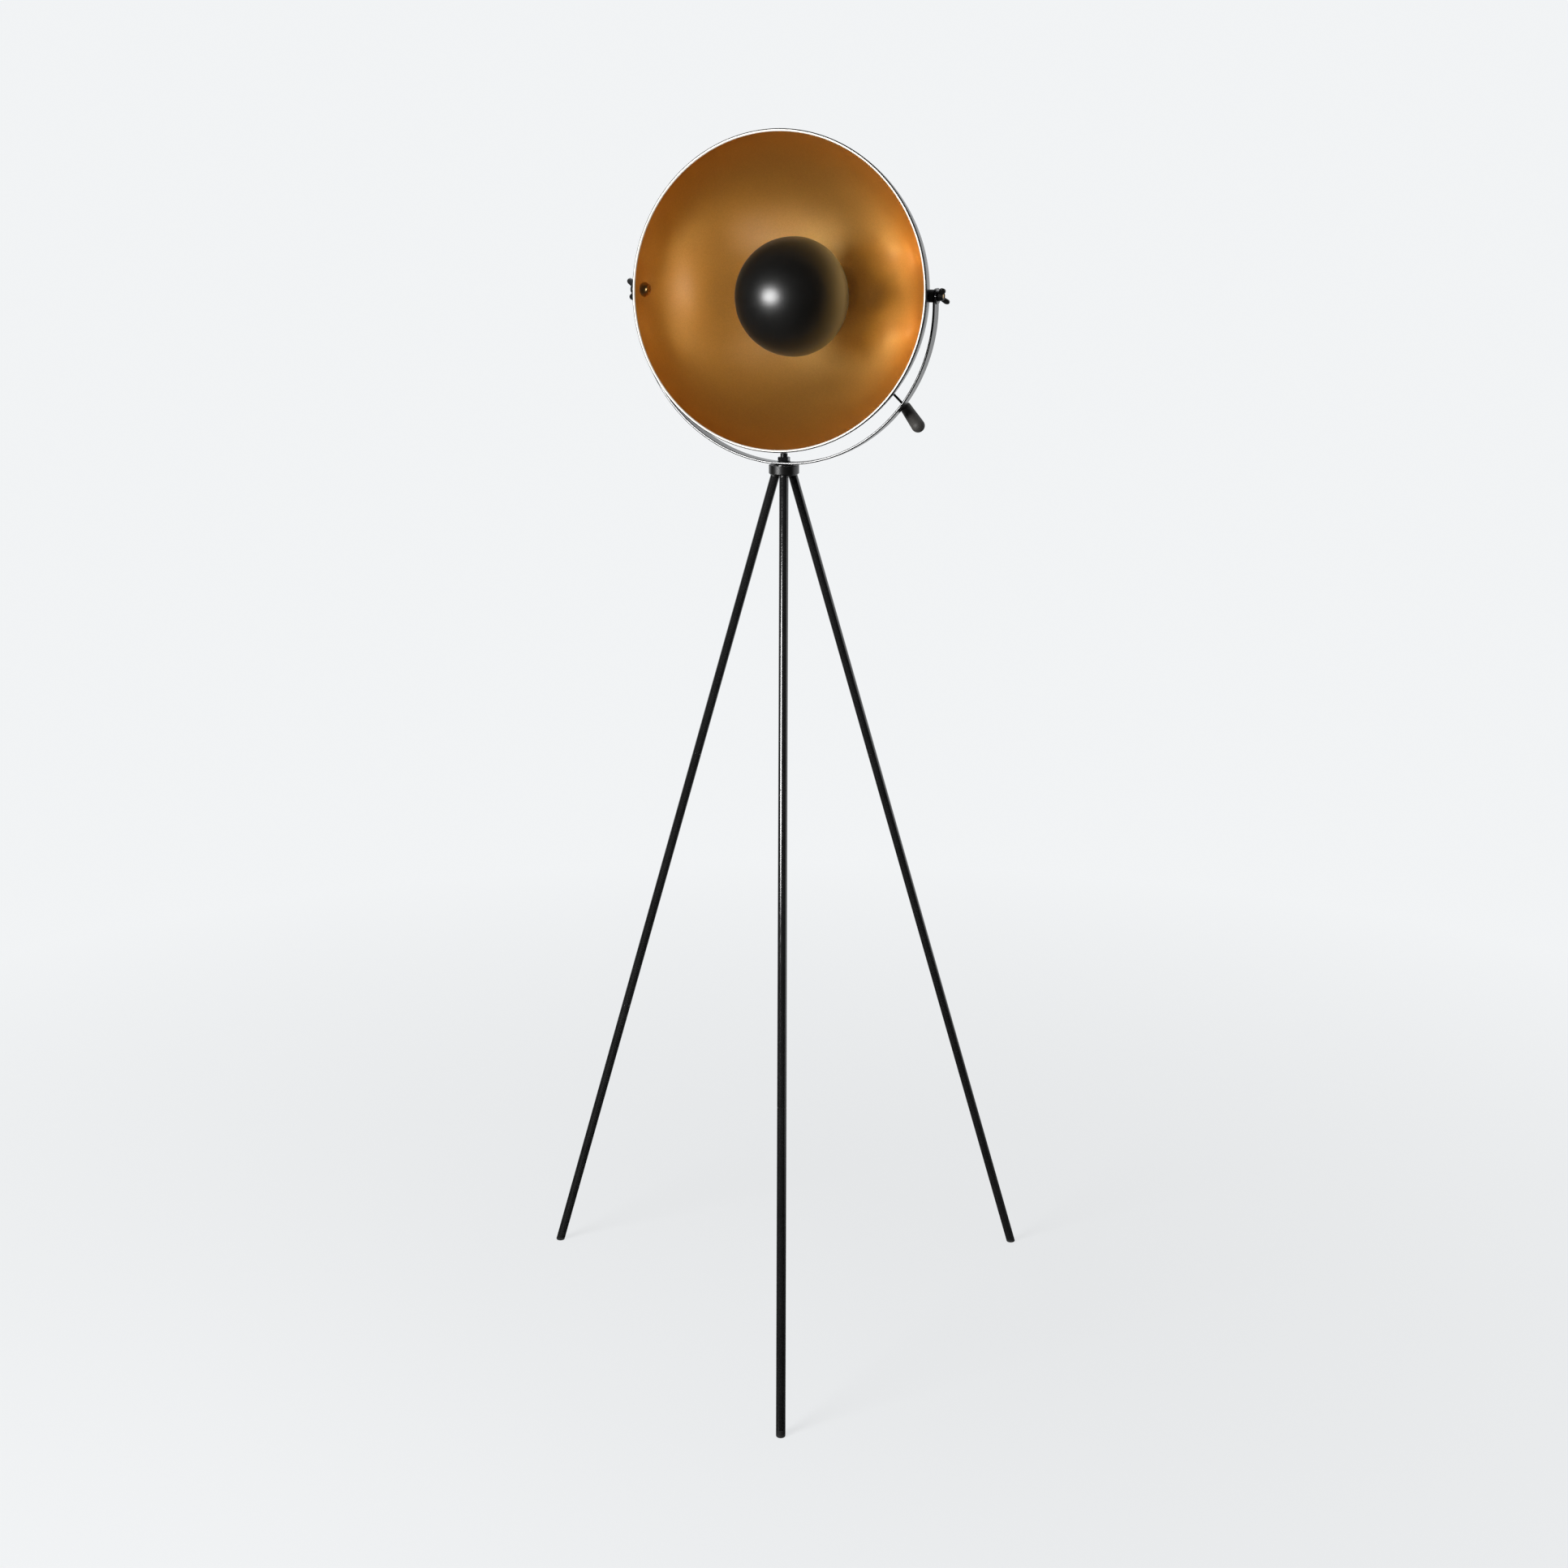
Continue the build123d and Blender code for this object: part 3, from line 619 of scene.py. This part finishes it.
apply_modifier(swivel_nut, "BOOLEAN", operation="INTERSECT", object=turned_blank, solver="EXACT")
bpy.data.objects.remove(turned_blank)
apply_modifier(
    swivel_nut, "BEVEL", width=nut_edge_bevel, segments=2, limit_method="ANGLE", angle_limit=math.radians(40)
)
smooth(swivel_nut, 25)
back_nut = copy_of(swivel_nut, "back_nut_cut")
place(swivel_nut, (0, 0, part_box("swivel_nut")[0][2]))
place(back_nut, (0, back_y + back_washer_t, 0), (math.radians(-90), 0, 0))
place(back_nut, tilt_axis, rest_turn)
finish_piece(swivel_nut, "tripod", (black_enamel,), ["swivel_nut"])
finish_piece(back_nut, "head", (black_enamel,), ["back_nut"])

# %% Turn the stud
stud_low, stud_high = (corner[2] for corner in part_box("swivel_stud"))
stud_r = 0.005
stud_hollow_r = 0.0035
stud_edge = 0.0006
ridge = 0.001
ridge_depth = 0.0005
last_ridge_gap = 0.0004
thread_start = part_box("swivel_nut")[1][2] - nut_h
stud_line = [(stud_hollow_r, stud_low), (stud_r, stud_low), (stud_r, thread_start)]
height = thread_start
while height + ridge < stud_high - last_ridge_gap:
    stud_line += [(stud_r - ridge_depth, height + ridge / 2), (stud_r, height + ridge)]
    height += ridge
stud_line += [(stud_r - stud_edge, stud_high), (stud_hollow_r, stud_high), (stud_hollow_r, stud_low)]
stud = turn_on_lathe("swivel_stud_turned", [(radius, -z) for radius, z in stud_line], 72)
place(stud, turn=(math.radians(-90), 0, 0))
smooth(stud, 25)
finish_piece(stud, "tripod", (black_enamel,), ["swivel_stud"])

# %% [markdown]
# ## Grip
# The grip is a moulded club on the end of the handle's rod, matt and a little thicker towards its end, which
# is fully rounded. It is turned like the rest, with a blind hole for the rod, and then leant along the rod.

# %% Turn the grip
grip_root_r = 0.0073
grip_len = 0.046
grip_round = 0.0086
grip_edge_r = 0.0006
rod_hole_r = 0.00166
rod_hole_depth = 0.022
grip_flare = math.radians(2.2)
end_y = grip_len - grip_round
end_centre = (grip_root_r + end_y * math.tan(grip_flare) - grip_round * math.cos(grip_flare), end_y)
edge_centre = (grip_root_r - grip_edge_r, grip_edge_r)
grip_line = [(0, rod_hole_depth), (rod_hole_r, rod_hole_depth), (rod_hole_r, 0), (edge_centre[0], 0)]
grip_line += arc(edge_centre, grip_edge_r, -90, 0, 5)
grip_line += arc(end_centre, grip_round, -math.degrees(grip_flare), 90, 20) + [(0, end_y + grip_round)]
grip = turn_on_lathe("grip", grip_line, 64)
smooth(grip, 40)

# %% Lean it along the rod
handle_angle = math.radians(-42.5)
handle_lean = math.radians(28)
handle_y = rim_y + 0.072
rod_reach = 0.027
grip_start = 0.0032


def handle_point(radius, y):
    return Vector((radius * math.cos(handle_angle), y, radius * math.sin(handle_angle)))


rod_bend = handle_point(math.sqrt(bowl_r**2 - (handle_y - bowl_y) ** 2) + rod_reach, handle_y)
rod_way = handle_point(math.cos(handle_lean), -math.sin(handle_lean))
place(grip, rod_bend + rod_way * grip_start, rod_way.to_track_quat("Y", "Z").to_euler())
place(grip, tilt_axis, rest_turn)
finish_piece(grip, "head", (grip_plastic,), ["handle_grip"])

# %% [markdown]
# ## Back of the shade
# A collar of tough plastic keeps the cord from being bent sharply where it goes in. Its grooves let it give.
# Inside the shade a ribbed ring, which is turned by hand, clamps the frame of the cap to the lamp holder.

# %% Turn the collar with its grooves
gland_y = back_y + 0.0065
gland_end = gland_y + 0.023
cone_y = back_y + 0.017
gland_r = 0.0085
mouth_r = 0.0056
gland_bore_r = 0.00506
cord_hole_r = 0.00325
root_edge, mouth_edge = 0.0005, 0.0004
groove_count = 4
groove_depth = 0.0009
gland_line = [(gland_bore_r, cone_y), (gland_bore_r, gland_y), (gland_r - root_edge, gland_y)]
gland_line += [(gland_r, gland_y + root_edge), (gland_r, cone_y)]
for groove in range(groove_count):
    for along, depth in ((0.15, 0), (0.25, groove_depth), (0.6, groove_depth), (0.7, 0)):
        part = (groove + along) / groove_count
        outer_r = gland_r + (mouth_r - gland_r) * part
        gland_line.append((outer_r - depth, cone_y + (gland_end - cone_y) * part))
gland_line += [(mouth_r, gland_end - mouth_edge), (mouth_r - mouth_edge, gland_end)]
gland_line += [(cord_hole_r, gland_end), (cord_hole_r, cone_y), gland_line[0]]
gland = turn_on_lathe("cord_collar", gland_line, 72)
smooth(gland, 30)
place(gland, tilt_axis, rest_turn)
finish_piece(gland, "head", (black_plastic,), ["cord_gland"])

# %% Rib the clamping ring
ring_end = back_inner_y - 0.0482
ring_start = ring_end - 0.008
ring_r = 0.0224
ring_bore_r = 0.01906
ring_edge = 0.0005
rib_h = 0.0006
ring_steps = 144
ring_line = [(ring_bore_r, ring_start), (ring_r - ring_edge, ring_start), (ring_r, ring_start + ring_edge)]
ring_line += [(ring_r, ring_end - ring_edge), (ring_r - ring_edge, ring_end), (ring_bore_r, ring_end)]
ring_line += [(ring_bore_r, ring_start)]
clamp_ring = turn_on_lathe("clamping_ring", ring_line, ring_steps)


def on_a_rib(face):
    """Two steps of the lathe in every four are a rib."""
    sector = int(math.degrees(math.atan2(face.center.z, face.center.x)) % 360 / (360 / ring_steps))
    outer = math.hypot(face.center.x, face.center.z) > ring_r - 0.0001 and abs(face.normal.y) < 0.1
    return outer and sector % 4 < 2


pick(clamp_ring, "FACE", on_a_rib)
bpy.ops.mesh.extrude_region_shrink_fatten(TRANSFORM_OT_shrink_fatten={"value": rib_h})
bpy.ops.object.mode_set(mode="OBJECT")
smooth(clamp_ring, 30)
place(clamp_ring, tilt_axis, rest_turn)
finish_piece(clamp_ring, "head", (black_plastic,), ["holder_ring"])

# %% [markdown]
# ## Floor, light and camera
# The lamp stands on a pale floor that runs out to a pale background of the same colour. One soft box to the
# left of the camera makes the round highlight on the cap. The room behind the camera is dark, as in a studio:
# dark boards there, which the camera does not see, keep the gold from mirroring a white room. Behind the lamp
# their cloth fades to the colour of the room, so that no reflection shows where they end.

# %% Lay the floor
floor_colour = (0.86, 0.87, 0.88, 1)
room_colour = (0.885, 0.9, 0.912, 1)
floor_r = 60
near, far = 0.4, 2.2
near_glow = 0.8
select_only(None)
bpy.ops.mesh.primitive_circle_add(vertices=128, radius=floor_r, fill_type="NGON")
floor = bpy.context.object
floor.name = "floor"
floor_paint, floor_shader, floor_where = start_finish(
    "floor_paint", {"Roughness": 0.9, "Base Color": floor_colour, "Specular IOR Level": 0.1}
)
floor.data.materials.append(floor_paint)


def seen_ray(tree):
    """1 for rays of the camera, of reflections and through glass, and 0 for the rest."""
    path = tree.nodes.new("ShaderNodeLightPath")
    total = path.outputs["Is Camera Ray"]
    for kind in ("Is Glossy Ray", "Is Transmission Ray"):
        add = tree.nodes.new("ShaderNodeMath")
        add.operation = "MAXIMUM"
        tree.links.new(total, add.inputs[0])
        tree.links.new(path.outputs[kind], add.inputs[1])
        total = add.outputs[0]
    return total


floor_tree = floor_paint.node_tree
glow = add_node(floor_paint, "ShaderNodeEmission", {"Color": room_colour, "Strength": 1.0})
distance = add_node(floor_paint, "ShaderNodeVectorMath", operation="LENGTH")
reach = add_node(
    floor_paint, "ShaderNodeMapRange", {"From Min": near, "From Max": far, "To Min": near_glow, "To Max": 1.0}
)
share = add_node(floor_paint, "ShaderNodeMath", operation="MULTIPLY")
blend = add_node(floor_paint, "ShaderNodeMixShader")
floor_tree.links.new(floor_where, distance.inputs[0])
floor_tree.links.new(distance.outputs["Value"], reach.inputs["Value"])
floor_tree.links.new(seen_ray(floor_tree), share.inputs[0])
floor_tree.links.new(reach.outputs["Result"], share.inputs[1])
floor_tree.links.new(share.outputs[0], blend.inputs["Fac"])
floor_tree.links.new(floor_shader.outputs[0], blend.inputs[1])
floor_tree.links.new(glow.outputs[0], blend.inputs[2])
floor_tree.links.new(blend.outputs[0], floor_tree.nodes["Material Output"].inputs["Surface"])
print("floor laid")

# %% Set the background
world = bpy.data.worlds.new("studio")
bpy.context.scene.world = world
world.use_nodes = True
tree = world.node_tree
pale = tree.nodes["Background"]
pale.inputs["Color"].default_value = room_colour
pale.inputs["Strength"].default_value = 1.0
fill = tree.nodes.new("ShaderNodeBackground")
fill.inputs["Color"].default_value = (0.95, 0.97, 1.0, 1)
fill.inputs["Strength"].default_value = 0.12
mix = tree.nodes.new("ShaderNodeMixShader")
tree.links.new(seen_ray(tree), mix.inputs["Fac"])
tree.links.new(fill.outputs[0], mix.inputs[1])
tree.links.new(pale.outputs[0], mix.inputs[2])
tree.links.new(mix.outputs[0], tree.nodes["World Output"].inputs["Surface"])

# %% Hang the soft box and the top light
camera_azimuth = math.radians(22.42)


def light_panel(name, azimuth, distance, height, aim_height, width, tall, watts):
    """A soft box at an azimuth seen from the lamp, 0 being straight in front of the shade."""
    at = Vector((math.sin(azimuth) * distance, -math.cos(azimuth) * distance, height))
    toward = Vector((0, 0, aim_height)) - at
    bpy.ops.object.light_add(type="AREA", location=at, rotation=toward.to_track_quat("-Z", "Y").to_euler())
    panel = bpy.context.object
    panel.name = name
    panel.data.shape = "ELLIPSE"
    panel.data.size = width
    panel.data.size_y = tall
    panel.data.energy = watts
    panel.visible_camera = False
    return panel


light_panel(
    "key_box",
    camera_azimuth - math.radians(46.6),
    distance=2.3,
    height=1.5,
    aim_height=1.38,
    width=1.2,
    tall=0.85,
    watts=62,
)
top_box = light_panel(
    "top_box", math.radians(10), distance=0.6, height=3.6, aim_height=0.0, width=3.0, tall=3.0, watts=10
)
top_box.visible_glossy = False
print("soft box and top light hung")

# %% Stand dark boards behind the camera
boards_r = 9
boards_h = 9
boards_lift = 0.004
fade_end_y = 3
dark_cloth, worn_cloth = (0.02, 0.02, 0.02), (0.03, 0.03, 0.03)
select_only(None)
bpy.ops.mesh.primitive_cylinder_add(
    vertices=96, radius=boards_r, depth=boards_h, location=(0, 0, boards_h / 2 + boards_lift)
)
boards = bpy.context.object
boards.name = "dark_boards"
bpy.ops.object.mode_set(mode="EDIT")
bpy.ops.mesh.select_all(action="SELECT")
bpy.ops.mesh.bisect(plane_co=(0, fade_end_y, 0), plane_no=(0, 1, 0), clear_outer=True)
bpy.ops.object.mode_set(mode="OBJECT")
board_cloth, cloth_shader, cloth_where = start_finish(
    "board_cloth", {"Specular IOR Level": 0.1, "Emission Color": room_colour}
)
cloth_drift = noise(board_cloth, cloth_where, colour_drift_size)
drift(board_cloth, cloth_drift, dark_cloth, worn_cloth, cloth_shader.inputs["Base Color"])
cloth_axes = add_node(board_cloth, "ShaderNodeSeparateXYZ")
fade = add_node(
    board_cloth,
    "ShaderNodeMapRange",
    {"From Min": 0, "From Max": fade_end_y, "To Min": 0, "To Max": 1},
    interpolation_type="SMOOTHSTEP",
)
board_cloth.node_tree.links.new(cloth_where, cloth_axes.inputs["Vector"])
board_cloth.node_tree.links.new(cloth_axes.outputs["Y"], fade.inputs["Value"])
board_cloth.node_tree.links.new(fade.outputs["Result"], cloth_shader.inputs["Emission Strength"])
boards.data.materials.append(board_cloth)
boards.visible_camera = False
boards.visible_diffuse = False
boards.visible_shadow = False

# %% Point the camera as in the photo
photo_px = 1932
focal_px = 3051
sensor_mm = 36
camera_away = 3.206
camera_height = 1.571
camera_dip = 14.37
bpy.ops.object.camera_add(
    location=(camera_away * math.sin(camera_azimuth), -camera_away * math.cos(camera_azimuth), camera_height),
    rotation=(math.radians(90 - camera_dip), 0, camera_azimuth),
)
camera = bpy.context.object
camera.data.sensor_width = sensor_mm
camera.data.lens = sensor_mm * focal_px / photo_px
bpy.context.scene.camera = camera
bpy.context.scene.view_settings.view_transform = "Standard"
